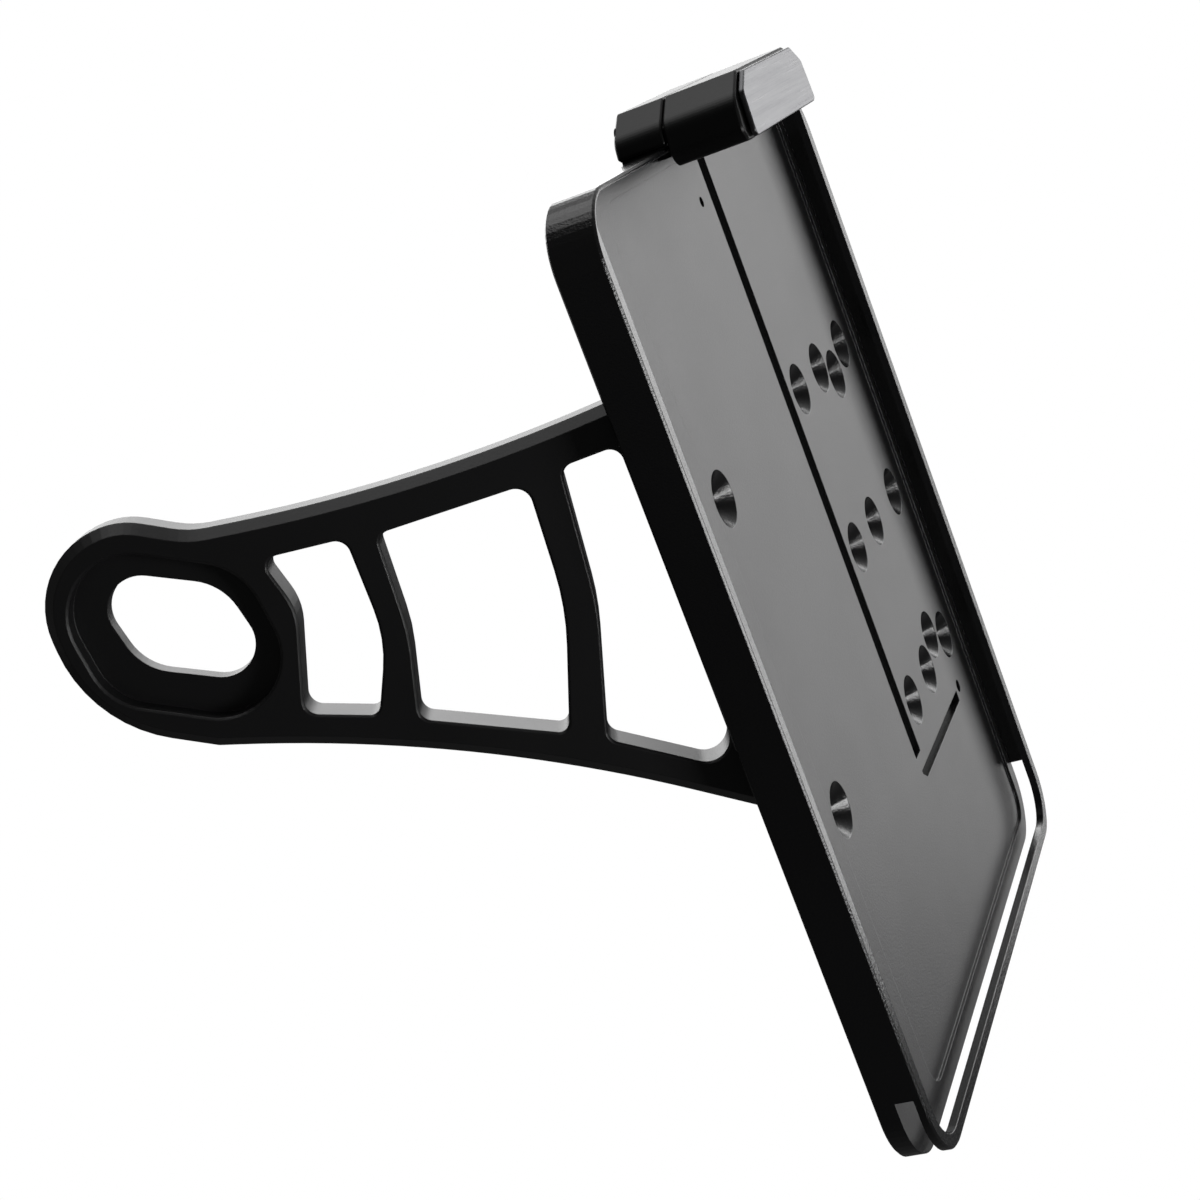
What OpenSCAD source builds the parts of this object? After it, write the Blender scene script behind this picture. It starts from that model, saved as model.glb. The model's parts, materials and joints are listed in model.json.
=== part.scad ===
// Side mount licence plate holder: a milled tray that takes the plate from below,
// a yawed plate arm with an axle slot, and a light block with its lens underneath.
// X runs across the plate, Z up, and the plate faces -Y. The origin is the middle of the tray's back.

/* [Plate tray] */
// Outside width of the tray
tray_w = 184; // [170:1:240]
// Outside height of the tray
tray_h = 222.5; // [210:0.5:260]
// Outside depth of the tray, from its back to the rim
tray_d = 11.25; // [11:0.25:16]
// Outside radius of the tray's corners
tray_corner_r = 14.3; // [12:0.1:20]
// Thickness of the pocket floor
floor_t = 4.1; // [3.9:0.1:4.5]
// Height of the ledge over the pocket floor
ledge_h = 0.8; // [0.5:0.1:1.2]
// Gap under the lip, which the plate slides into
plate_gap = 4.3; // [4.2:0.1:5]
// Wall between the plate pocket and the outside
pocket_wall = 1; // [0.8:0.1:1.5]
// Width of the lip on the arm's side
lip_near = 3.4; // [2.5:0.1:5]
// Width of the lip on the other side
lip_far = 3.9; // [2.5:0.1:5]
// Width of the lip bar along the bottom
lip_bottom = 3.4; // [2.5:0.1:5]
// Width of the ledge on the arm's side
ledge_near = 27.5; // [25:0.5:30]
// Width of the ledge on the other sides, from the outside
ledge_w = 4.9; // [4:0.1:6]
// Height to which the entry slot climbs both sides
entry_rise = 19; // [15:0.5:24]
// Chamfer on the tray's outside edges
tray_chamfer = 0.5; // [0.2:0.1:0.8]

/* [Plate holes] */
// Diameter of the plate holes' bore
hole_d = 6.4; // [5.5:0.1:6.8]
// Diameter of their 90 degree countersink
sink_d = 13.2; // [11:0.1:13.4]
// Distance from the tray's centre line to the pair of holes beside the arm
pair_x = 55.5; // [50:0.5:58]
// Spacing of the holes in each pair
pair_step = 76; // [70:1:80]
// Distance from the centre line to the grid's first column
grid_x = 25.1; // [23:0.1:27]
// Distance between the grid's first two columns
grid_step_near = 21.9; // [20:0.1:23]
// Distance between the grid's last two columns
grid_step_far = 26.5; // [26.5:0.1:28]
// Distance between the grid's rows
grid_row = 43.1; // [42:0.1:46]
// Drop of the grid's middle row below the tray's centre
grid_drop = 1.2; // [0:0.1:3]
// Distance from the centre line to the pair of holes beyond the grid
outer_pair_x = 60; // [59.5:0.1:60.5]

/* [Cable grooves] */
// Width of the long cable groove
groove_w = 5.8; // [4:0.1:7]
// Depth of both grooves below the pocket floor
groove_d = 2.5; // [1.5:0.1:3]
// Distance from the centre line to the long groove
groove_x = 13; // [11:0.5:14]
// Distance from the tray's centre down to the long groove's end
groove_drop = 54.7; // [50:0.5:56]
// Width of the cross groove
cross_w = 3; // [2:0.1:4]
// Distance from the tray's centre down to the cross groove
cross_drop = 60; // [59:0.5:64]
// Length of the cross groove
cross_len = 54.7; // [50:0.5:56]
// Diameter of the cable hole beyond the cross groove
cable_hole_d = 3.5; // [3:0.1:4]
// Diameter of the small locating hole near the top
locating_hole_d = 2.5; // [1.5:0.1:3]

/* [Arm] */
// Angle by which the arm turns away from the plate's normal
arm_yaw = 19.6; // [10:0.1:25]
// Distance from the tray's centre line to the arm's near face, at the tray's back
arm_x = 81.8; // [80:0.1:83]
// Thickness of the arm
arm_t = 9.2; // [8:0.1:12]
// Width of the chamfer round the arm's near face
arm_chamfer = 2.2; // [1:0.1:2.5]
// Chamfer on the arm's far face and along its windows
arm_edge = 0.5; // [0.2:0.1:0.8]
// Length of the arm from the tray's back to the ring's end
arm_len = 129; // [126:0.5:136]
// Distance from the ring's centre to the arm's end
ring_half = 24.7; // [24:0.1:26]
// Height of the ring's centre over the tray's centre
ring_up = 56.4; // [54:0.1:58]
// Width of the axle slot across its flats
slot_w = 20.2; // [19.1:0.1:21]
// Width of the recess round the slot, across its flats
recess_w = 32.7; // [31:0.1:34]
// Thickness of the flange at the arm's root
flange_t = 3.7; // [3:0.1:5]
// Depth of the recess round the axle slot
recess_d = 5; // [3:0.1:6]

/* [Arm screws] */
// Thread diameter of the screws that hold the arm
arm_screw_d = 5; // [4:0.5:5]
// Head diameter of those screws
arm_screw_head = 9.6; // [9:0.1:10]
// Depth of the tapped holes in the arm's root
tapped_depth = 7; // [6:0.5:8]
// Height of the upper screw over the tray's centre
arm_screw_up = 65.2; // [64.5:0.1:65.8]
// Distance of the lower screw below the tray's centre
arm_screw_down = 16.6; // [16:0.1:17]

/* [Light] */
// Half width of the light block at its widest
light_half = 32.6; // [32:0.1:36]
// Distance by which its shoulders stand in from the widest
shoulder_in = 1.7; // [1:0.1:3]
// Distance by which its flat top stands in from the widest
top_in = 10.3; // [9:0.1:12]
// Height of the light block over the tray
light_rise = 10.25; // [9:0.25:12]
// Length of the front housing
housing_len = 17.4; // [16.5:0.1:22]
// Distance by which the front housing hangs below the tray's top
housing_hang = 4.65; // [4:0.05:5]
// Thickness of the seals under and inside the light block
seal_t = 0.4; // [0.3:0.1:0.6]
// Thickness of the brushed end plate
end_plate_t = 1.1; // [0.8:0.1:1.5]
// Height of the dark step behind the end plate
end_gap = 0.5; // [0.3:0.1:0.8]
// Number of lamps on the board
led_count = 6; // [3:1:6]
// Thickness of the lamp board
board_t = 1.6; // [1:0.1:1.8]
// Thickness of the lens
lens_t = 1.9; // [1.5:0.1:2]
// Thread diameter of the light's screws
light_screw_d = 3; // [2.5:0.5:3]

/* [Hidden] */
$fn = 48;

eps = 0.02;
over = 1;
fit_gap = 0.05;
arc_step = 7;
chord_max = 5;

x_out = tray_w / 2;
z_out = tray_h / 2;
ledge_d = floor_t + ledge_h;
lip_d = ledge_d + plate_gap;
sink_depth = (sink_d - hole_d) / 2;

groove_floor = floor_t - groove_d;
wire_x = groove_x;
wire_r = 1.7;
wire_d = 3;

// The tapped holes run straight back in an arm that leans, so they are centred halfway along their depth
arm_screw_x = arm_x - arm_t / cos(arm_yaw) / 2 + tan(arm_yaw) * tapped_depth / 2;
arm_head_h = (arm_screw_head - arm_screw_d) / 2;

base_z = z_out + seal_t;
base_front = tray_d + 0.45;
housing_back = base_front + seal_t;
housing_front = housing_back + housing_len;
light_shoulder = light_half - shoulder_in;
light_top = light_half - top_in;
boss_front = housing_front + end_gap;
light_z = z_out + light_rise;
shoulder_drop = 5.3;
widest_z = z_out - 1.85;
housing_z = z_out - housing_hang;
base_foot = [[light_half - 0.6, base_z, 1]];
housing_foot = [[light_half - 2, housing_z, 2.5], [light_half, widest_z, 2.5]];

lens_inset = 1.4;
lens_half = light_half - 7.6;
board_half = lens_half - 1;
board_top = z_out + 2.35;
cavity_wall = 2.2;
wire_room_half = lens_half - 4;
wire_room_top = board_top + 3;

light_screw_z = light_z - 5.5;
light_screw_x = light_half - 7.1;
light_screw_head = 2 * light_screw_d;
light_screw_end = housing_back + 8;
base_screw_x = light_half - 12.6;
base_screw_y = 7.5;
base_screw_grip = 6;
base_screw_end = base_z + base_screw_grip;
pan_head_h = 1.6;
pan_head_d = 5;

led_size = [2.8, 3.5, 0.7];
led_span = 2 * board_half - 10;

// The arm's outlines are drawn with the ring's centre this far from the tray, and its two screws this far apart
drawn_reach = 104.3;
drawn_screws = 81.8;
drawn_ring = 24.7;
ring_centre = [arm_len - ring_half, ring_up];
ring_scale = ring_half / drawn_ring;

// Vertices [along, up, corner radius] on the arm: along from the tray's back, up from the lower screw
function by_root(x, z, r) =
    let (stretch = ring_centre.x / drawn_reach)
    [x * stretch, z * (arm_screw_up + arm_screw_down) / drawn_screws - arm_screw_down, r * stretch];

// The same, from the ring's centre
function by_ring(x, z, r) = [ring_centre.x + x * ring_scale, ring_centre.y + z * ring_scale, r * ring_scale];

arm_outline = rounded([
    by_root(-8, -14.4, 0), by_root(55.1, 30.35, 340), by_ring(1.1, -25.4, 3), by_ring(24.75, -11.75, 30),
    by_ring(24.75, 26.7, 19), by_ring(1.2, 26.7, 16), by_ring(-11.2, 19.4, 20),
    by_root(42.8, 84.1, 370), by_root(-8, 87.1, 0)]);

// The recess and the slot are skewed rounds, drawn for these widths across their flats
drawn_recess = 32.7;
drawn_slot = 20.2;
recess_outline = skewed_round(by_ring(0, 0, 0), recess_w / drawn_recess, [18.4, -8.45, 14], [22.35, 31.3, 13.5]);
slot_outline = skewed_round(by_ring(-1.05, 0.75, 0), slot_w / drawn_slot, [11.4, -5.4, 12], [16.45, 20.05, 7.45]);

// Three windows, with the curved ribs between them
window_ring = rounded([
    by_root(71, 41.9, 2.2), by_ring(-18.7, -25.2, 3.2), by_ring(-26.1, -3.9, 14), by_ring(-22.9, 8.9, 2.5),
    by_root(63.3, 79.6, 3.2), by_root(63.6, 56.9, 30)]);
window_middle = rounded([
    by_root(35.2, 23.8, 2.2), by_root(63.4, 38, 3), by_root(58.3, 56.1, 40), by_root(56.9, 78.1, 2.6),
    by_root(24.1, 76.7, 3.6), by_root(26, 49.6, 60)]);
window_root = rounded([
    [flange_t, 2.6 - arm_screw_down, 5], by_root(28, 19.5, 3), by_root(19.5, 47.1, 60),
    by_root(16.3, 77.5, 2.6), [flange_t, arm_screw_up - 4.3, 3]]);

function unit(v) = v / norm(v);

function left_of(v) = [-v.y, v.x];

// Angle from one direction to the other, between -180 and 180 degrees
function turn(a, b) = atan2(a.x * b.y - a.y * b.x, a * b);

// Arc that rounds the corner p between its neighbours, with no more radius than its sides can take
function corner(prev, p, next) =
    let (here = [p.x, p.y],
        back = [prev.x, prev.y] - here,
        ahead = [next.x, next.y] - here,
        a = unit(back),
        b = unit(ahead),
        half = abs(turn(a, b)) / 2,
        r = min(p[2], 0.92 * min(norm(back), norm(ahead)) * tan(half)),
        centre = here + unit(a + b) * r / sin(half),
        from = here + a * r / tan(half) - centre,
        to = here + b * r / tan(half) - centre,
        sweep = turn(from, to),
        count = ceil(max(abs(sweep) / arc_step, r * abs(sweep) * PI / 180 / chord_max)),
        start = atan2(from.y, from.x))
    r == 0 ? [here]
        : [for (i = [0:count]) centre + r * [cos(start + sweep * i / count), sin(start + sweep * i / count)]];

// Closed outline through vertices [x, y, corner radius], counter-clockwise
function rounded(v) =
    [for (i = [0:len(v) - 1]) each corner(v[(i + len(v) - 1) % len(v)], v[i], v[(i + 1) % len(v)])];

// The same, with its sides moved inwards by d and the corner radii kept
function rounded_inside(v, d) =
    let (moved = inset([for (p = v) [p.x, p.y]], d))
    rounded([for (i = [0:len(v) - 1]) [moved[i].x, moved[i].y, v[i][2]]]);

// Outline with two corners given from its centre c, and the two opposite ones, at scale k
function skewed_round(c, k, low, high) =
    rounded([for (side = [1, -1]) for (v = [low, high])
        [c.x + side * k * v.x, c.y + side * k * v.y, k * v[2]]]);

// The same outline moved inwards by d, or outwards when d is negative
function inset(pts, d) =
    let (n = len(pts))
    [for (i = [0:n - 1])
        let (before = left_of(unit(pts[i] - pts[(i + n - 1) % n])),
            after = left_of(unit(pts[(i + 1) % n] - pts[i])))
        pts[i] + d * (before + after) / (1 + before * after)];

// Corners of a rectangle with one radius
function box_outline(x0, x1, z0, z1, r) = rounded([[x0, z0, r], [x1, z0, r], [x1, z1, r], [x0, z1, r]]);

// Vertices of the light's section: its foot, shoulder and flat top, and their mirror images
function light_section(foot) =
    let (half = concat(foot, [[light_shoulder, light_z - shoulder_drop, 6], [light_top, light_z, 1.5]]))
    concat(half, [for (i = [len(half) - 1:-1:0]) [-half[i].x, half[i].y, half[i][2]]]);

// Vertices of the end plate, which stands in from the light's section all round
function end_section() =
    let (foot = [light_half - 3.4, housing_z + 0.3], side = [light_shoulder - 2.9, light_z - 4.5],
        top = [light_top - 0.6, light_z - 0.6])
    [[foot.x, foot.y, 1.5], [side.x, side.y, 2], [top.x, top.y, 1],
        [-top.x, top.y, 1], [-side.x, side.y, 2], [-foot.x, foot.y, 1.5]];

// Solid between rings [height, outline], which all have as many points
module loft(rings) {
    n = len(rings[0][1]);
    last = len(rings) - 1;
    points = [for (ring = rings) for (p = ring[1]) [p.x, p.y, ring[0]]];
    sides = [for (k = [0:last - 1]) for (i = [0:n - 1])
        [k * n + i, (k + 1) * n + i, (k + 1) * n + (i + 1) % n, k * n + (i + 1) % n]];
    polyhedron(points, concat([[for (i = [0:n - 1]) i]], sides, [[for (i = [n - 1:-1:0]) last * n + i]]));
}

// Slab between two heights with a chamfer of its own at each end
module chamfered(outline, from, to, low, high) {
    loft(concat(
        low > 0 ? [[from, inset(outline, low)], [from + low, outline]] : [[from, outline]],
        high > 0 ? [[to - high, outline], [to, inset(outline, high)]] : [[to, outline]]));
}

// Ring that cuts a chamfer c wide round a slab's face; side is 1 where the slab lies above the face, and -1 below
module edge_cut(outline, face, c, side) {
    n = len(outline);
    clear = 0.1;
    section = [[face - side * clear, inset(outline, c + clear)], [face - side * clear, inset(outline, -clear)],
        [face + side * (c + clear), inset(outline, -clear)]];
    rings = side > 0 ? section : [section[2], section[1], section[0]];
    points = [for (ring = rings) for (p = ring[1]) [p.x, p.y, ring[0]]];
    polyhedron(points, [for (k = [0:2]) for (i = [0:n - 1])
        let (above = (k + 1) % 3 * n, next = (i + 1) % n)
        [k * n + i, above + i, above + next, k * n + next]]);
}

// Turns an extrusion so that its height runs from the tray's back towards the front
module from_back() {
    rotate([90, 0, 0]) children();
}

// Turns an extrusion so that it lies in the arm's near face, with its height through the arm
module in_arm() {
    translate([-arm_x, 0, 0]) rotate([90, 0, 90 + arm_yaw]) children();
}

module rounded_rect(x0, x1, z0, z1, r) {
    translate([x0 + r, z0]) square([x1 - x0 - 2 * r, z1 - z0]);
    translate([x0, z0 + r]) square([x1 - x0, z1 - z0 - 2 * r]);
    for (x = [x0 + r, x1 - r], z = [z0 + r, z1 - r]) translate([x, z]) circle(r);
}

// Cylinder along Y at x, z between two depths
module drill(x, z, d, from, to) {
    from_back() translate([x, z, from]) cylinder(d = d, h = to - from);
}

// 90 degree countersink that opens at depth top, over a bore
module sink(x, z, d, head, top) {
    depth = (head - d) / 2;
    drill(x, z, d, -over, top + over);
    from_back() translate([x, z, top - depth]) cylinder(d1 = d, d2 = head, h = depth);
    drill(x, z, head, top, top + over);
}

function plate_hole_places() =
    let (columns = [grid_x, grid_x + grid_step_near, grid_x + grid_step_near + grid_step_far])
    concat(
        [for (side = [-1, 1]) [-pair_x, side * pair_step / 2]],
        [for (x = columns, row = [-1:1]) [x, row * grid_row - grid_drop]],
        [for (side = [-1, 1]) [outer_pair_x, side * pair_step / 2 - grid_drop]]);

// Everything between the floor and the lip
module pocket_space() {
    side = pocket_wall;
    from_back() translate([0, 0, ledge_d]) linear_extrude(plate_gap)
        rounded_rect(side - x_out, x_out - side, side - z_out, z_out - side, tray_corner_r - side);
    from_back() translate([0, 0, lip_d - eps]) linear_extrude(tray_d - lip_d + over) intersection() {
        rounded_rect(side - x_out, x_out - side, side - z_out, z_out - side, tray_corner_r - side);
        rounded_rect(lip_near - x_out, x_out - lip_far, lip_bottom - z_out, z_out + tray_corner_r,
            tray_corner_r - lip_bottom);
    }
    from_back() translate([0, 0, floor_t]) linear_extrude(ledge_h + eps)
        rounded_rect(ledge_near - x_out, x_out - ledge_w, ledge_w - z_out, z_out - ledge_w, 7);
}

// The slot that the plate slides through runs round both bottom corners
module entry_slot() {
    translate([-x_out - over, -lip_d, -z_out - over]) cube([tray_w + 2 * over, plate_gap, entry_rise + over]);
}

module cable_grooves() {
    top = z_out - pocket_wall;
    cross_x = groove_x - groove_w / 2 + 1.2;
    cross_z = -cross_drop;
    from_back() translate([0, 0, groove_floor]) linear_extrude(ledge_d - groove_floor + eps) {
        translate([groove_x - groove_w / 2, -groove_drop]) square([groove_w, top + groove_drop]);
        polygon([[cross_x, cross_z + cross_w / 2], [cross_x, cross_z + cross_w * 0.2],
            [cross_x + cross_w, cross_z - cross_w / 2], [cross_x + cross_len, cross_z - cross_w / 2],
            [cross_x + cross_len, cross_z + cross_w / 2]]);
    }
    drill(cross_x + cross_len + cable_hole_d, cross_z + cross_w / 2, cable_hole_d, -over, floor_t + over);
    translate([wire_x, -wire_d, top - over]) cylinder(r = wire_r, h = pocket_wall + 2 * over);
}

module plate_frame() {
    color("dimgray") difference() {
        from_back() chamfered(box_outline(-x_out, x_out, -z_out, z_out, tray_corner_r),
            0, tray_d, tray_chamfer, tray_chamfer);
        pocket_space();
        entry_slot();
        cable_grooves();
        for (p = plate_hole_places()) sink(p.x, p.y, hole_d, sink_d, floor_t);
        drill(2.2, z_out - 16, locating_hole_d, -over, floor_t + over);
        for (z = [arm_screw_up, -arm_screw_down])
            sink(-arm_screw_x, z, arm_screw_d + 2 * fit_gap, arm_screw_head + 2 * fit_gap, ledge_d);
        for (x = [-base_screw_x, base_screw_x])
            translate([x, -base_screw_y, z_out - over - pocket_wall])
                cylinder(d = light_screw_d + 2 * fit_gap, h = pocket_wall + 2 * over);
    }
}

// Cutter for a window, with a small chamfer where it breaks the near face
module window_cut(outline, depth) {
    loft([[-over, inset(outline, -arm_edge - over)], [arm_edge, outline], [depth, outline]]);
}

module mount_arm() {
    color("black") difference() {
        in_arm() linear_extrude(arm_t) polygon(arm_outline);
        in_arm() {
            edge_cut(arm_outline, 0, arm_chamfer, 1);
            edge_cut(arm_outline, arm_t, arm_edge, -1);
            window_cut(window_ring, arm_t + over);
            window_cut(window_middle, arm_t + over);
            window_cut(window_root, arm_t + over);
            window_cut(recess_outline, recess_d);
            translate([0, 0, recess_d - eps]) linear_extrude(arm_t) polygon(slot_outline);
        }
        translate([-arm_x - arm_len, -arm_len, -z_out]) cube([2 * arm_len, arm_len, tray_h]);
        for (z = [arm_screw_up, -arm_screw_down])
            drill(-arm_screw_x, z, arm_screw_d + 2 * fit_gap, -tapped_depth, over);
    }
}

// Socket head screw with a 90 degree head flush at depth top, running back to depth end
module sunk_screw(x, z, d, head, top, end, key) {
    depth = (head - d) / 2;
    color("darkslategray") difference() {
        union() {
            drill(x, z, d, end, top - depth + eps);
            from_back() translate([x, z, top - depth]) cylinder(d1 = d, d2 = head, h = depth);
        }
        from_back() translate([x, z, top - depth]) cylinder(d = key, h = depth + over, $fn = 6);
    }
}

module arm_screw(z) {
    sunk_screw(-arm_screw_x, z, arm_screw_d, arm_screw_head, ledge_d, 0.5 - tapped_depth, 3.4);
}

module arm_screw_upper() { arm_screw(arm_screw_up); }

module arm_screw_lower() { arm_screw(-arm_screw_down); }

module light_screw_ways(d) {
    for (side = [-1, 1]) drill(side * light_screw_x, light_screw_z, d, -over, light_screw_end + 0.5);
}

// Way of the wires from the lamp room to the long groove
module wire_way() {
    drill(wire_x, z_out + 3.75, 2 * wire_r, wire_d, housing_back + cavity_wall + over + 1);
    translate([wire_x, -wire_d, z_out - over]) cylinder(r = wire_r, h = 3.75 + over);
}

module base_seal() {
    color("black") difference() {
        translate([-light_half + 1.5, -base_front + 0.6, z_out]) cube([2 * light_half - 3, base_front - 1.2, seal_t]);
        wire_way();
        for (x = [-base_screw_x, base_screw_x])
            translate([x, -base_screw_y, z_out - over]) cylinder(d = light_screw_d + 2 * fit_gap, h = 3);
    }
}

module light_base() {
    color("dimgray") difference() {
        from_back() chamfered(rounded(light_section(base_foot)), 0, base_front, 0.5, 0.4);
        light_screw_ways(light_screw_d + 2 * fit_gap);
        for (side = [-1, 1])
            from_back() translate([side * light_screw_x, light_screw_z, -eps])
                cylinder(d1 = light_screw_head + 2 * fit_gap, d2 = light_screw_d, h = light_screw_d / 2 + fit_gap);
        wire_way();
        for (x = [-base_screw_x, base_screw_x])
            translate([x, -base_screw_y, base_z - over])
                cylinder(d = light_screw_d + 2 * fit_gap, h = base_screw_grip + over + 0.5);
    }
}

module housing_seal() {
    color("black") difference() {
        from_back() translate([0, 0, base_front]) linear_extrude(seal_t)
            polygon(inset([for (p = light_section(base_foot)) [p.x, p.y]], 1));
        light_screw_ways(light_screw_d + 2 * fit_gap);
        wire_way();
    }
}

// Rooms inside the housing: the lens seat, the lamp room and the wire room, from below upwards
module housing_rooms() {
    seat_z = housing_z + lens_t + 0.1;
    from = housing_back + lens_inset;
    to = housing_front - 1;
    translate([-lens_half, -to, housing_z - over]) cube([2 * lens_half, to - from, seat_z - housing_z + over]);
    translate([-board_half, 0.8 - to, seat_z - eps]) cube([2 * board_half, to - from - 1.6, board_top - seat_z + eps]);
    translate([-wire_room_half, 1.8 - to, board_top - eps])
        cube([2 * wire_room_half, to - from - 3.6, wire_room_top - board_top]);
}

module light_housing() {
    color("black") difference() {
        union() {
            from_back() chamfered(rounded(light_section(housing_foot)), housing_back, housing_front, 0.4, 0.5);
            from_back() translate([0, 0, housing_front - eps]) linear_extrude(end_gap + eps)
                polygon(rounded_inside(end_section(), 2.5));
        }
        housing_rooms();
        light_screw_ways(light_screw_d + 2 * fit_gap);
        wire_way();
    }
}

module light_end_plate() {
    edge = 0.25;
    color("silver") from_back()
        chamfered(rounded(end_section()), boss_front, boss_front + end_plate_t, 0, edge);
}

module light_lens() {
    from = housing_back + lens_inset + fit_gap;
    to = housing_front - 1 - fit_gap;
    color("aliceblue", 0.6) translate([fit_gap - lens_half, -to, housing_z + 0.1])
        cube([2 * (lens_half - fit_gap), to - from, lens_t]);
}

module led_board() {
    from = housing_back + lens_inset + 0.8 + fit_gap;
    to = housing_front - 1.8 - fit_gap;
    color("white") translate([fit_gap - board_half, -to, board_top - board_t])
        cube([2 * (board_half - fit_gap), to - from, board_t]);
}

// Lamp number i, face down under the board
module led(i) {
    x = led_count > 1 ? led_span * (i / (led_count - 1) - 0.5) : 0;
    y = (housing_back + lens_inset + housing_front - 1) / 2;
    if (i < led_count) color("lightyellow")
        translate([x - led_size.x / 2, -y - led_size.y / 2, board_top - board_t - led_size.z]) cube(led_size);
}

// Countersunk screw from the back of the light base into the housing
module housing_screw(side) {
    head_h = (light_screw_head - light_screw_d) / 2;
    x = side * light_screw_x;
    color("darkslategray") difference() {
        union() {
            drill(x, light_screw_z, light_screw_d, head_h - eps, light_screw_end);
            from_back() translate([x, light_screw_z, 0])
                cylinder(d1 = light_screw_head, d2 = light_screw_d, h = head_h);
        }
        from_back() translate([x, light_screw_z, -over]) cylinder(d = 2.2, h = over + head_h, $fn = 6);
    }
}

// Pan head screw from the pocket up into the light base
module base_screw(side) {
    head_z = z_out - pocket_wall;
    color("darkslategray") translate([side * base_screw_x, -base_screw_y, 0]) difference() {
        union() {
            translate([0, 0, head_z - pan_head_h]) cylinder(d = pan_head_d, h = pan_head_h);
            translate([0, 0, head_z - eps]) cylinder(d = light_screw_d, h = base_screw_end - head_z);
        }
        translate([0, 0, head_z - pan_head_h - over]) cylinder(d = 2.2, h = over + 1, $fn = 6);
    }
}

plate_frame();
mount_arm();
arm_screw_upper();
arm_screw_lower();
base_seal();
light_base();
housing_seal();
light_housing();
light_end_plate();
light_lens();
led_board();
led(0);  // led_1
led(1);  // led_2
led(2);  // led_3
led(3);  // led_4
led(4);  // led_5
led(5);  // led_6
housing_screw(-1);  // housing_screw_near
housing_screw(1);  // housing_screw_far
base_screw(-1);  // base_screw_near
base_screw(1);  // base_screw_far
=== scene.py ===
# Finish, light and view of the side mount plate holder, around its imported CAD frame
import json

import bpy
from mathutils import Matrix, Vector

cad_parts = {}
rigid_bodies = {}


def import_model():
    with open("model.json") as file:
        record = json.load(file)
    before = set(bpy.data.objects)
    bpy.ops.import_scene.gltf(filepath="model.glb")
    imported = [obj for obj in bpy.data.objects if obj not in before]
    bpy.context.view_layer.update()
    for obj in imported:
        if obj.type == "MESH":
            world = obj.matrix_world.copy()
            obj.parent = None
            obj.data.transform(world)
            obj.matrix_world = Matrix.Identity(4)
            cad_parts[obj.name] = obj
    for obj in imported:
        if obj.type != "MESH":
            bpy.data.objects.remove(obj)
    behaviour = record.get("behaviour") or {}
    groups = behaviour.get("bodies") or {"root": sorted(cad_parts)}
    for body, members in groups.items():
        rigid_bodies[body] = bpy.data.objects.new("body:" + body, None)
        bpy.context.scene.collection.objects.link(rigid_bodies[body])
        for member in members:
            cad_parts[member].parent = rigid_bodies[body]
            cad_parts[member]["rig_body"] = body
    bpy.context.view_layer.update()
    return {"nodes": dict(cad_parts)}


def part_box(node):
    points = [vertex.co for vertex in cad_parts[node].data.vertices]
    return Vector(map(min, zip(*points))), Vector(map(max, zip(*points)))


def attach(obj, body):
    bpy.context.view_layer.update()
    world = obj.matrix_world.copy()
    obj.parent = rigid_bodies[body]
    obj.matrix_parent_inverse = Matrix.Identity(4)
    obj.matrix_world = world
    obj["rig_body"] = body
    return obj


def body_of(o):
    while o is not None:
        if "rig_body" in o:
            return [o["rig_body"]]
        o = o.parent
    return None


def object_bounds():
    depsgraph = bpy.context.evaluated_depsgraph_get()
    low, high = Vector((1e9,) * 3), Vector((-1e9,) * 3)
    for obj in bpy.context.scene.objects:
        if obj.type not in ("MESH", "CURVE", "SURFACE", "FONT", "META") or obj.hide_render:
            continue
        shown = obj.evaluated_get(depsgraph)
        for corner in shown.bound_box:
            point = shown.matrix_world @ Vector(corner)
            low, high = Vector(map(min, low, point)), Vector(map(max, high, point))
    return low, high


MM = 0.001

# Camera: its place in metres, the three directions of its picture, and its lens and sensor
CAMERA_PLACE = Vector((-498.65, -163.228, 133.221)) * MM
CAMERA_RIGHT = Vector((0.3012789, -0.8839071, -0.3576861))
CAMERA_DOWN = Vector((-0.3353020, 0.2529529, -0.9075172))
CAMERA_FORWARD = Vector((0.8926386, 0.3933486, -0.2201664))
LENS_MM = 66.352
SENSOR_MM = 36.0
NEAREST_SEEN = 0.01

# Panels of light, all aimed at one point: name, place, width and height in metres, power in watts
PANEL_TARGET = Vector((0.0, 0.0, 0.0))
PANELS = [
    ("right_front_panel", (1.25, -0.76, 0.0), 0.84, 1.46, 8.2),
    ("back_panel", (1.4, 0.8, 0.45), 1.4, 0.9, 8.0),
    ("top_panel", (0.2, 0.1, 1.3), 1.0, 1.0, 3.0),
    ("left_front_panel", (-0.42, -1.0, -0.22), 0.4, 0.4, 3.0),
]

# The room's brightness, which rises from dim to bright between two values of a direction's X
ROOM_DIM = 0.03
ROOM_BRIGHT = 0.5
ROOM_DIM_AT_X = -0.1
ROOM_BRIGHT_AT_X = 0.95

# Floor: its distance below the holder, half its width, and the grey and roughness that light meets
FLOOR_DROP = 0.85
FLOOR_HALF = 6.0
FLOOR_GREY = (0.1, 0.1, 0.1, 1)
FLOOR_ROUGHNESS = 0.8

# Refraction of the skins: the anodised tray and arm shine more than a plain skin
DENSE_SKIN_IOR = 1.8
PLAIN_SKIN_IOR = 1.5
LENS_IOR = 1.49

# Patterns per metre
CLOUDS = 45.0
BLASTED_GRAIN = 1900.0
BRUSHED_LINES = 3200.0
STEEL_GRAIN = 900.0
LENS_CLOUDS = 300.0

# The middle of a noise, which is where nearly all of it lies
NOISE_LOW = 0.3
NOISE_HIGH = 0.7

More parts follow.
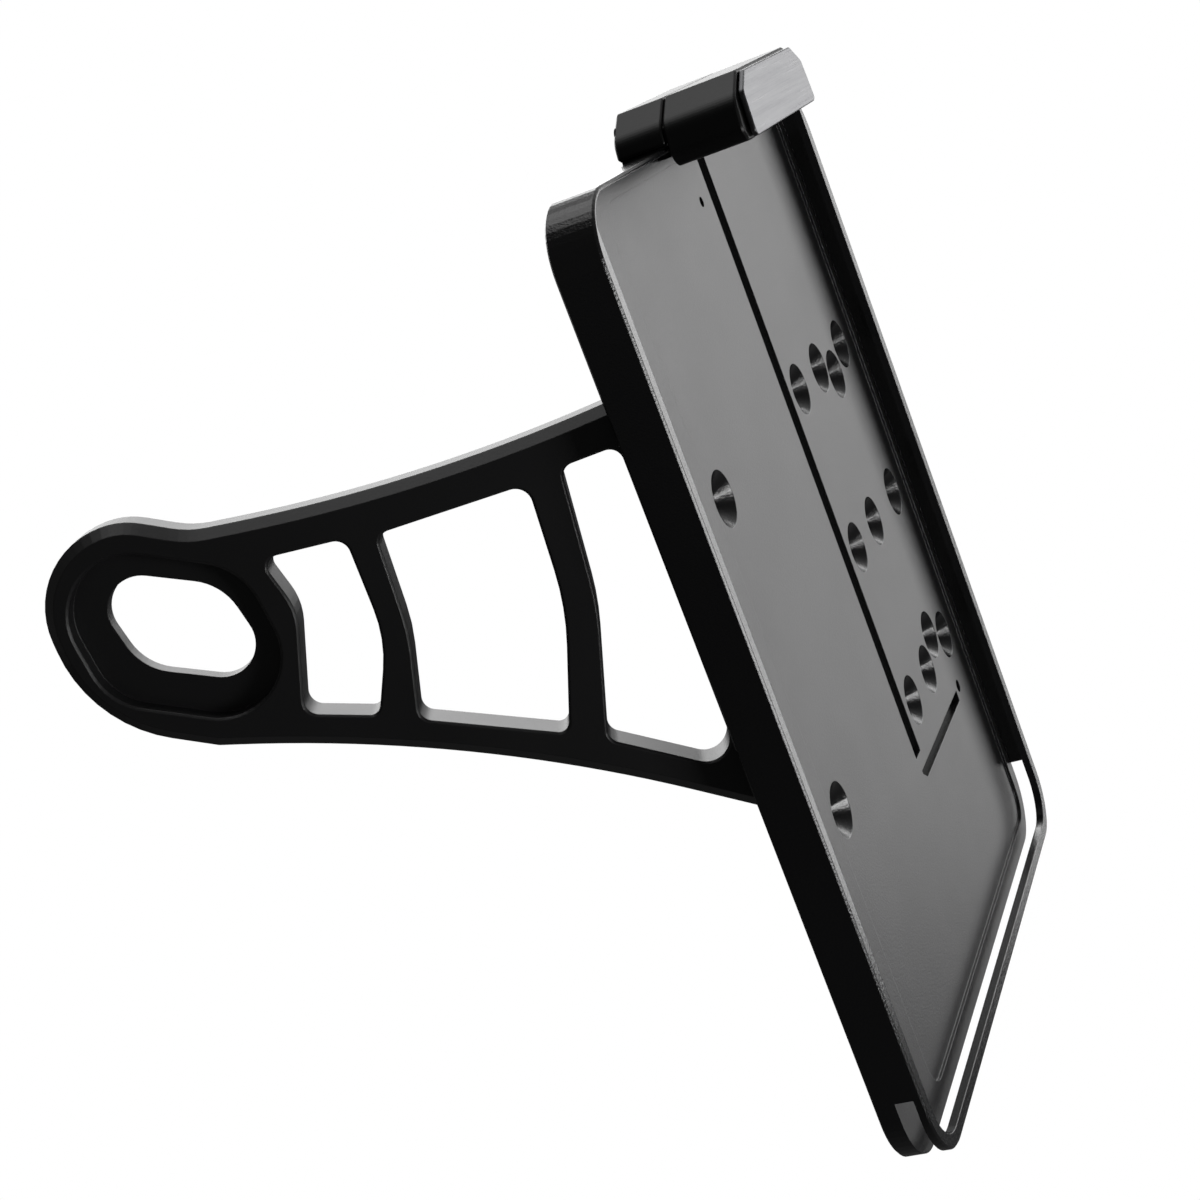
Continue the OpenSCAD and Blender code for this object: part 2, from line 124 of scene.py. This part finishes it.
# How far the roughness wanders to each side
ANODISED_SWING = 0.01
PLAIN_SWING = 0.04

# Radius of the edges that the shading rounds
ANODISED_EDGE = 0.35 * MM
BRUSHED_EDGE = 0.45 * MM
PLAIN_EDGE = 0.15 * MM
SCREW_EDGE = 0.1 * MM
EDGE_SAMPLES = 6

# The tray is blasted only where it faces the front squarely and lies behind its rim. The rim
# starts this far in front of the back, and the Y of a face's normal tells where it faces.
RIM_START = 10.0 * MM
RIM_BLEND = 0.3 * MM
SQUARE_NORMAL_Y = -0.98
SLOPED_NORMAL_Y = -0.9
MILLED_ROUGHNESS = 0.2

# Lamps, and the domes under them: radius and depth as shares of a lamp's width and depth
LAMPS = ["led_%d" % number for number in range(1, 7)]
DOME_RADIUS_SHARE = 0.42
DOME_DEPTH_SHARE = 0.9
DOME_SEGMENTS = 32
DOME_RINGS = 16

SCREWS = ["arm_screw_upper", "arm_screw_lower", "housing_screw_near", "housing_screw_far",
          "base_screw_near", "base_screw_far"]


def clear_scene():
    for obj in list(bpy.data.objects):
        bpy.data.objects.remove(obj)


def add_camera():
    data = bpy.data.cameras.new("camera")
    data.lens = LENS_MM
    data.sensor_width = SENSOR_MM
    data.clip_start = NEAREST_SEEN
    camera = bpy.data.objects.new("camera", data)
    bpy.context.scene.collection.objects.link(camera)
    turn = Matrix((CAMERA_RIGHT, -CAMERA_DOWN, -CAMERA_FORWARD)).transposed()
    camera.matrix_world = Matrix.Translation(CAMERA_PLACE) @ turn.to_4x4()
    bpy.context.scene.camera = camera


# Finishes

def new_material(name):
    material = bpy.data.materials.new(name)
    material.use_nodes = True
    tree = material.node_tree
    tree.nodes.clear()
    output = tree.nodes.new("ShaderNodeOutputMaterial")
    shader = tree.nodes.new("ShaderNodeBsdfPrincipled")
    tree.links.new(shader.outputs[0], output.inputs["Surface"])
    return material, tree, shader


def noise(tree, scale, detail=3.0, roughness=0.5, stretch=(1, 1, 1)):
    """Noise on Object coordinates, drawn out along an axis whose stretch is small."""
    coordinates = tree.nodes.new("ShaderNodeTexCoord")
    mapping = tree.nodes.new("ShaderNodeMapping")
    mapping.inputs["Scale"].default_value = stretch
    texture = tree.nodes.new("ShaderNodeTexNoise")
    texture.inputs["Scale"].default_value = scale
    texture.inputs["Detail"].default_value = detail
    texture.inputs["Roughness"].default_value = roughness
    tree.links.new(coordinates.outputs["Object"], mapping.inputs["Vector"])
    tree.links.new(mapping.outputs[0], texture.inputs["Vector"])
    return texture.outputs["Fac"]


def spread(tree, texture, low, high):
    """Maps the middle of a noise to the range low to high."""
    node = tree.nodes.new("ShaderNodeMapRange")
    node.inputs["From Min"].default_value = NOISE_LOW
    node.inputs["From Max"].default_value = NOISE_HIGH
    node.inputs["To Min"].default_value = low
    node.inputs["To Max"].default_value = high
    tree.links.new(texture, node.inputs["Value"])
    return node.outputs[0]


def set_roughness(tree, shader, texture, low, high):
    tree.links.new(spread(tree, texture, low, high), shader.inputs["Roughness"])


def set_colour(tree, shader, texture, dark, light):
    """A colour that wanders between two tones as the texture does."""
    tones = tree.nodes.new("ShaderNodeMix")
    tones.data_type = "RGBA"
    tones.inputs["A"].default_value = (*dark, 1)
    tones.inputs["B"].default_value = (*light, 1)
    tree.links.new(texture, tones.inputs["Factor"])
    tree.links.new(tones.outputs["Result"], shader.inputs["Base Color"])


def soft_edges(tree, shader, radius, texture, height):
    """Rounds every edge in the shading, and lays a fine bump over it."""
    bevel = tree.nodes.new("ShaderNodeBevel")
    bevel.samples = EDGE_SAMPLES
    bevel.inputs["Radius"].default_value = radius
    bump = tree.nodes.new("ShaderNodeBump")
    bump.inputs["Strength"].default_value = 1.0
    bump.inputs["Distance"].default_value = height
    tree.links.new(texture, bump.inputs["Height"])
    tree.links.new(bevel.outputs[0], bump.inputs["Normal"])
    tree.links.new(bump.outputs[0], shader.inputs["Normal"])


def milled_faces(tree, blasted):
    """Keeps the blasted roughness on front faces behind the rim, and smooths all others."""
    coordinates = tree.nodes.new("ShaderNodeTexCoord")
    place = tree.nodes.new("ShaderNodeSeparateXYZ")
    rim = tree.nodes.new("ShaderNodeMapRange")
    rim.inputs["From Min"].default_value = -RIM_START + RIM_BLEND
    rim.inputs["From Max"].default_value = -RIM_START - RIM_BLEND
    geometry = tree.nodes.new("ShaderNodeNewGeometry")
    facing = tree.nodes.new("ShaderNodeSeparateXYZ")
    sloped = tree.nodes.new("ShaderNodeMapRange")
    sloped.inputs["From Min"].default_value = SQUARE_NORMAL_Y
    sloped.inputs["From Max"].default_value = SLOPED_NORMAL_Y
    either = tree.nodes.new("ShaderNodeMath")
    either.operation = "MAXIMUM"
    blend = tree.nodes.new("ShaderNodeMix")
    blend.inputs["B"].default_value = MILLED_ROUGHNESS
    tree.links.new(coordinates.outputs["Object"], place.inputs[0])
    tree.links.new(place.outputs["Y"], rim.inputs["Value"])
    tree.links.new(geometry.outputs["True Normal"], facing.inputs[0])
    tree.links.new(facing.outputs["Y"], sloped.inputs["Value"])
    tree.links.new(rim.outputs[0], either.inputs[0])
    tree.links.new(sloped.outputs[0], either.inputs[1])
    tree.links.new(either.outputs[0], blend.inputs["Factor"])
    tree.links.new(blasted, blend.inputs["A"])
    return blend.outputs["Result"]


def anodised(name, dark, light, roughness, grain, ior, milled=False):
    """Milled aluminium with a black anodised skin: a fine grain over a faint cloudiness."""
    material, tree, shader = new_material(name)
    cloud = noise(tree, CLOUDS, detail=2.0)
    speckle = noise(tree, BLASTED_GRAIN, detail=2.0, roughness=0.6)
    set_colour(tree, shader, cloud, dark, light)
    gloss = spread(tree, cloud, roughness - ANODISED_SWING, roughness + ANODISED_SWING)
    if milled:
        gloss = milled_faces(tree, gloss)
    tree.links.new(gloss, shader.inputs["Roughness"])
    shader.inputs["IOR"].default_value = ior
    soft_edges(tree, shader, ANODISED_EDGE, speckle, grain)
    return material


def brushed(name):
    """Aluminium brushed along X, with long fine lines in its colour, gloss and relief."""
    material, tree, shader = new_material(name)
    lines = noise(tree, BRUSHED_LINES, detail=3.0, roughness=0.6, stretch=(0.012, 1, 1))
    set_colour(tree, shader, lines, dark=(0.13, 0.13, 0.135), light=(0.22, 0.22, 0.23))
    set_roughness(tree, shader, lines, low=0.26, high=0.4)
    shader.inputs["Metallic"].default_value = 1.0
    shader.inputs["Anisotropic"].default_value = 0.5
    soft_edges(tree, shader, BRUSHED_EDGE, lines, height=0.004 * MM)
    return material


def plain_finish(name, dark, light, roughness, scale, grain):
    """A moulded or painted skin with small changes of tone and gloss."""
    material, tree, shader = new_material(name)
    texture = noise(tree, scale)
    set_colour(tree, shader, texture, dark, light)
    set_roughness(tree, shader, texture, roughness - PLAIN_SWING, roughness + PLAIN_SWING)
    shader.inputs["IOR"].default_value = PLAIN_SKIN_IOR
    soft_edges(tree, shader, PLAIN_EDGE, texture, grain)
    return material


def blackened_steel(name):
    material, tree, shader = new_material(name)
    texture = noise(tree, STEEL_GRAIN)
    set_colour(tree, shader, texture, dark=(0.03, 0.03, 0.032), light=(0.06, 0.06, 0.062))
    set_roughness(tree, shader, texture, low=0.32, high=0.45)
    shader.inputs["Metallic"].default_value = 1.0
    soft_edges(tree, shader, SCREW_EDGE, texture, height=0.01 * MM)
    return material


def clear_lens(name):
    """Faintly cloudy clear plastic."""
    material, tree, shader = new_material(name)
    texture = noise(tree, LENS_CLOUDS)
    set_colour(tree, shader, texture, dark=(0.93, 0.95, 0.96), light=(0.97, 0.98, 0.98))
    set_roughness(tree, shader, texture, low=0.12, high=0.18)
    shader.inputs["Transmission Weight"].default_value = 0.9
    shader.inputs["IOR"].default_value = LENS_IOR
    return material


def dress(node_names, material):
    for name in node_names:
        for slot in frame["nodes"][name].material_slots:
            slot.material = material


# The lamps' domes

def node_link(tree, source, output, target, entry):
    tree.links.new(source.outputs[output], target.inputs[entry])


def dome_tree(material):
    """A row of flattened domes, from Count, Start, Step, Radius and Flatness."""
    tree = bpy.data.node_groups.new("lamp_domes", "GeometryNodeTree")
    kinds = {"Count": "NodeSocketInt", "Start": "NodeSocketVector", "Step": "NodeSocketVector",
             "Radius": "NodeSocketFloat", "Flatness": "NodeSocketFloat"}
    for name, kind in kinds.items():
        tree.interface.new_socket(name=name, in_out="INPUT", socket_type=kind)
    tree.interface.new_socket(name="Geometry", in_out="OUTPUT", socket_type="NodeSocketGeometry")
    entry = tree.nodes.new("NodeGroupInput")
    result = tree.nodes.new("NodeGroupOutput")
    line = tree.nodes.new("GeometryNodeMeshLine")
    sphere = tree.nodes.new("GeometryNodeMeshUVSphere")
    sphere.inputs["Segments"].default_value = DOME_SEGMENTS
    sphere.inputs["Rings"].default_value = DOME_RINGS
    scale = tree.nodes.new("ShaderNodeCombineXYZ")
    scale.inputs["X"].default_value = 1.0
    scale.inputs["Y"].default_value = 1.0
    instances = tree.nodes.new("GeometryNodeInstanceOnPoints")
    real = tree.nodes.new("GeometryNodeRealizeInstances")
    smooth = tree.nodes.new("GeometryNodeSetShadeSmooth")
    finish = tree.nodes.new("GeometryNodeSetMaterial")
    finish.inputs["Material"].default_value = material
    node_link(tree, entry, "Count", line, "Count")
    node_link(tree, entry, "Start", line, "Start Location")
    node_link(tree, entry, "Step", line, "Offset")
    node_link(tree, entry, "Radius", sphere, "Radius")
    node_link(tree, entry, "Flatness", scale, "Z")
    node_link(tree, line, "Mesh", instances, "Points")
    node_link(tree, sphere, "Mesh", instances, "Instance")
    node_link(tree, scale, "Vector", instances, "Scale")
    node_link(tree, instances, "Instances", real, "Geometry")
    node_link(tree, real, "Geometry", smooth, "Geometry")
    node_link(tree, smooth, "Geometry", finish, "Geometry")
    node_link(tree, finish, "Geometry", result, "Geometry")
    return tree


def add_lamp_domes(lamps, material):
    """A dome under each lamp, whose upper half sits in the lamp's body and is hidden by it."""
    boxes = [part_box(name) for name in lamps]
    feet = [Vector(((low[0] + high[0]) / 2, (low[1] + high[1]) / 2, low[2])) for low, high in boxes]
    width = boxes[0][1][0] - boxes[0][0][0]
    depth = boxes[0][1][2] - boxes[0][0][2]
    radius = DOME_RADIUS_SHARE * width
    sizes = {"Count": len(lamps), "Start": feet[0], "Step": feet[1] - feet[0],
             "Radius": radius, "Flatness": DOME_DEPTH_SHARE * depth / radius}
    tree = dome_tree(material)
    domes = bpy.data.objects.new("lamp_domes", bpy.data.meshes.new("lamp_domes"))
    bpy.context.scene.collection.objects.link(domes)
    modifier = domes.modifiers.new("domes", "NODES")
    modifier.node_group = tree
    for socket in tree.interface.items_tree:
        if socket.name in sizes:
            modifier[socket.identifier] = sizes[socket.name]
    bpy.context.view_layer.update()
    evaluated = domes.evaluated_get(bpy.context.evaluated_depsgraph_get())
    plain = bpy.data.meshes.new_from_object(evaluated)
    domes.modifiers.clear()
    domes.data = plain
    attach(domes, body_of(frame["nodes"][lamps[0]])[0])


# Light and surroundings

def add_world():
    """A room that is white to the camera. It lights the holder brightly from +X, dimly from -X."""
    world = bpy.data.worlds.new("studio")
    bpy.context.scene.world = world
    world.use_nodes = True
    tree = world.node_tree
    tree.nodes.clear()
    output = tree.nodes.new("ShaderNodeOutputWorld")
    background = tree.nodes.new("ShaderNodeBackground")
    coordinates = tree.nodes.new("ShaderNodeTexCoord")
    direction = tree.nodes.new("ShaderNodeSeparateXYZ")
    ramp = tree.nodes.new("ShaderNodeMapRange")
    ramp.interpolation_type = "SMOOTHSTEP"
    ramp.inputs["From Min"].default_value = ROOM_DIM_AT_X
    ramp.inputs["From Max"].default_value = ROOM_BRIGHT_AT_X
    ramp.inputs["To Min"].default_value = ROOM_DIM
    ramp.inputs["To Max"].default_value = ROOM_BRIGHT
    path = tree.nodes.new("ShaderNodeLightPath")
    most = tree.nodes.new("ShaderNodeMath")
    most.operation = "MAXIMUM"
    tree.links.new(coordinates.outputs["Generated"], direction.inputs[0])
    tree.links.new(direction.outputs["X"], ramp.inputs["Value"])
    tree.links.new(ramp.outputs[0], most.inputs[0])
    tree.links.new(path.outputs["Is Camera Ray"], most.inputs[1])
    tree.links.new(most.outputs[0], background.inputs["Color"])
    tree.links.new(background.outputs[0], output.inputs["Surface"])


def add_panel(name, place, width, height, power):
    data = bpy.data.lights.new(name, "AREA")
    data.shape = "RECTANGLE"
    data.size = width
    data.size_y = height
    data.energy = power
    panel = bpy.data.objects.new(name, data)
    bpy.context.scene.collection.objects.link(panel)
    aim = (PANEL_TARGET - Vector(place)).to_track_quat("-Z", "Y")
    panel.matrix_world = Matrix.Translation(place) @ aim.to_matrix().to_4x4()


def floor_finish():
    """White to the camera, with no shadow on it, and dim to the holder."""
    material, tree, shader = new_material("floor_white")
    shader.inputs["Base Color"].default_value = FLOOR_GREY
    shader.inputs["Roughness"].default_value = FLOOR_ROUGHNESS
    path = tree.nodes.new("ShaderNodeLightPath")
    glow = tree.nodes.new("ShaderNodeEmission")
    mix = tree.nodes.new("ShaderNodeMixShader")
    output = [node for node in tree.nodes if node.type == "OUTPUT_MATERIAL"][0]
    tree.links.new(path.outputs["Is Camera Ray"], mix.inputs[0])
    tree.links.new(shader.outputs[0], mix.inputs[1])
    tree.links.new(glow.outputs[0], mix.inputs[2])
    tree.links.new(mix.outputs[0], output.inputs["Surface"])
    return material


def add_floor():
    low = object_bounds()[0][2] - FLOOR_DROP
    mesh = bpy.data.meshes.new("floor")
    corners = [(-FLOOR_HALF, -FLOOR_HALF, low), (FLOOR_HALF, -FLOOR_HALF, low),
               (FLOOR_HALF, FLOOR_HALF, low), (-FLOOR_HALF, FLOOR_HALF, low)]
    mesh.from_pydata(corners, [], [(0, 1, 2, 3)])
    mesh.materials.append(floor_finish())
    floor = bpy.data.objects.new("floor", mesh)
    bpy.context.scene.collection.objects.link(floor)


clear_scene()
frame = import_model()
add_camera()

dress(["plate_frame"], anodised(
    "tray_anodised", dark=(0.012, 0.012, 0.013), light=(0.016, 0.016, 0.017),
    roughness=0.44, grain=0.06 * MM, ior=DENSE_SKIN_IOR, milled=True))
dress(["mount_arm"], anodised(
    "arm_anodised", dark=(0.014, 0.014, 0.015), light=(0.018, 0.018, 0.019),
    roughness=0.38, grain=0.010 * MM, ior=DENSE_SKIN_IOR))
dress(["light_base", "light_housing"], anodised(
    "light_anodised", dark=(0.004, 0.004, 0.004), light=(0.006, 0.006, 0.006),
    roughness=0.36, grain=0.005 * MM, ior=PLAIN_SKIN_IOR))
dress(["light_end_plate"], brushed("end_plate_brushed"))
dress(["base_seal", "housing_seal"], plain_finish(
    "seal_rubber", dark=(0.01, 0.01, 0.01), light=(0.02, 0.02, 0.02),
    roughness=0.7, scale=1500.0, grain=0.01 * MM))
dress(["light_lens"], clear_lens("lens_clear"))
dress(["led_board"], plain_finish(
    "board_white", dark=(0.74, 0.74, 0.71), light=(0.8, 0.8, 0.77),
    roughness=0.45, scale=600.0, grain=0.004 * MM))
dress(LAMPS, plain_finish(
    "lamp_body", dark=(0.72, 0.72, 0.68), light=(0.8, 0.8, 0.76),
    roughness=0.4, scale=900.0, grain=0.003 * MM))
add_lamp_domes(LAMPS, plain_finish(
    "lamp_yellow", dark=(0.8, 0.62, 0.12), light=(0.9, 0.74, 0.22),
    roughness=0.16, scale=700.0, grain=0.002 * MM))
dress(SCREWS, blackened_steel("screw_blackened"))

add_world()
for panel_sizes in PANELS:
    add_panel(*panel_sizes)
add_floor()

bpy.context.scene.view_settings.view_transform = "Standard"
